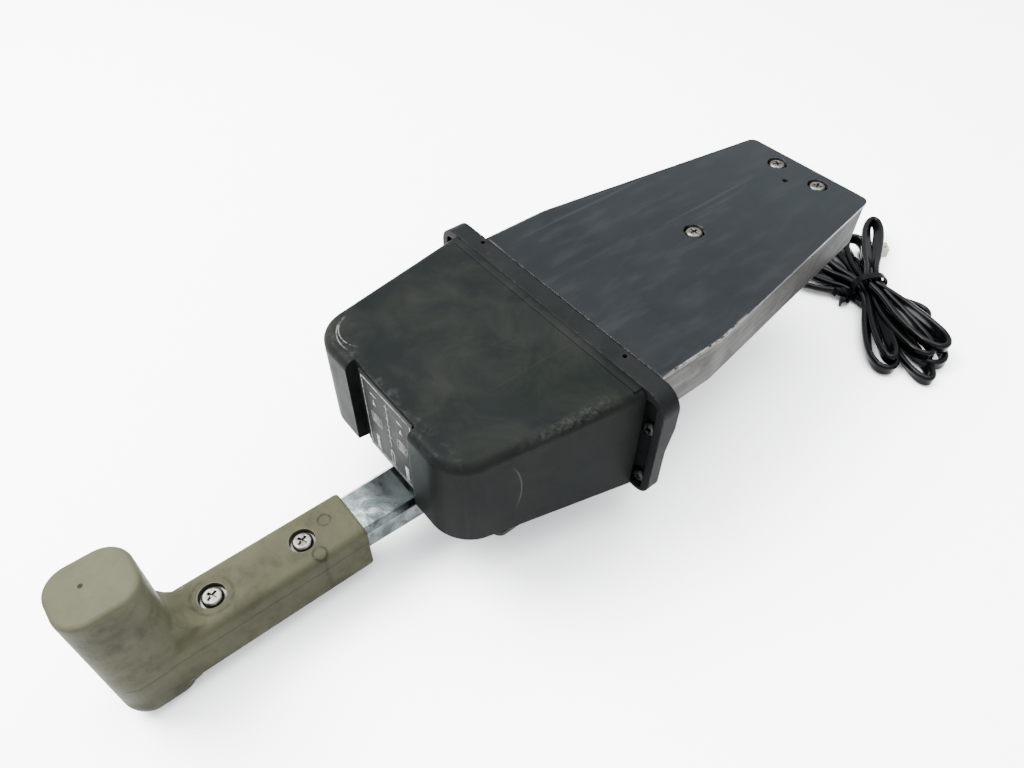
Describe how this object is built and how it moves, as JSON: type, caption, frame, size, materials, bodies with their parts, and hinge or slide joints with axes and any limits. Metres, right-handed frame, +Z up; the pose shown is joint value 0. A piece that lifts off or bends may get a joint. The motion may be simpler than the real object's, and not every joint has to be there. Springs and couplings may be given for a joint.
{
  "type": "hand control lever unit",
  "caption": "Hand-control lever unit: moulded hood on a flange, covered sheet-metal trough, swinging chrome lever with upright grip, detent, slide switch and tied flat lead",
  "frame": {"origin": "centre of the bounding box's bottom face, on the surface the unit stands on; the free lead isn't counted", "axes": "+X runs from the grip to the trough's far end, +Y to the left of someone looking along +X, +Z up. The lever's axis is parallel to X and 6.5 mm to the -Y side of the origin."},
  "size_m": [0.57, 0.2126, 0.1],
  "materials": {
    "hood_plastic": "moulded, satin, handled and scratched",
    "flange_plastic": "moulded, satin black",
    "label_metal": "dark anodised with worn silver marks",
    "galvanised": "dull folded sheet",
    "plate_coat": "satin blue-grey paint, scuffed",
    "nickel_screws": "nickel plated, worn",
    "zinc_steel": "zinc plated",
    "black_screws": "black oxide",
    "bright_steel": "turned",
    "bronze": "sintered bronze",
    "buffer_rubber": "moulded",
    "spring_steel": "blued spring strip",
    "nylon_dark": "moulded",
    "nylon_white": "moulded, natural",
    "lever_chrome": "bright, cloudy with age",
    "grip_rubber": "olive grey, smudged",
    "contact_brass": "bright",
    "board_laminate": "phenolic laminate",
    "lead_pvc": "glossy flat two-core lead",
    "tie_plastic": "twist tie",
    "plug_nylon": "cream moulded connector"
  },
  "bodies": {
    "housing": {"hood_shell": "hood_plastic", "mounting_flange": "flange_plastic", "label_plate": "label_metal", "trough_pan": "galvanised", "cover_plate": "plate_coat", "cover_screws": "nickel_screws", "cover_washers": "nickel_screws", "cover_pillars": "zinc_steel", "ear_screws": "black_screws", "ear_nuts": "zinc_steel", "base_plate": "zinc_steel", "top_plate": "zinc_steel", "frame_posts": "bright_steel", "base_screws": "zinc_steel", "post_screws": "nickel_screws", "hanger_posts": "bright_steel", "hanger_screws": "nickel_screws", "lower_bush": "bronze", "middle_bush": "bronze", "upper_bush": "bronze", "stop_pins": "bright_steel", "stop_buffers": "buffer_rubber", "detent_leaf": "spring_steel", "detent_block": "nylon_dark", "detent_screws": "nickel_screws", "bar_guides": "nylon_white", "switch_board": "board_laminate", "board_pillars": "contact_brass", "board_screws": "nickel_screws", "contact_strips": "contact_brass", "switch_terminals": "nylon_dark", "terminal_screws": "contact_brass", "cord_clamp": "nylon_dark", "clamp_screws": "nickel_screws", "switch_leads": "lead_pvc", "cord_grommet": "buffer_rubber", "cord_lead": "lead_pvc", "cord_hank": "lead_pvc", "hank_tie": "tie_plastic", "lead_plug": "plug_nylon"},
    "lever": {"lever_arm": "lever_chrome", "grip_cover": "grip_rubber", "knob_core": "nylon_dark", "grip_screws": "nickel_screws", "grip_washers": "zinc_steel", "pivot_spindle": "bright_steel", "hub_pin": "bright_steel", "lower_collar": "zinc_steel", "upper_collar": "zinc_steel", "crank_arm": "zinc_steel", "crank_nut": "zinc_steel", "crank_pin": "bright_steel", "crank_roller": "nylon_white", "detent_quadrant": "bright_steel", "quadrant_screws": "nickel_screws"},
    "selector": {"selector_bar": "zinc_steel", "contact_carriage": "nylon_dark", "wiper_contacts": "contact_brass", "carriage_screws": "nickel_screws"}
  },
  "joints": [
    {"name": "lever_swing", "type": "hinge", "parent": "housing", "child": "lever", "pos_m": [-0.0115, -0.0065, 0.03], "axis": [0, 0, 1], "range_deg": [-12, 12]},
    {"name": "selector_slide", "type": "slide", "parent": "housing", "child": "selector", "axis": [1, 0, 0], "range_m": [-0.0051, 0.0051]}
  ],
  "couplings": [
    {"joint": "selector_slide", "follows": "lever_swing", "m_per_rad": -0.024}
  ]
}
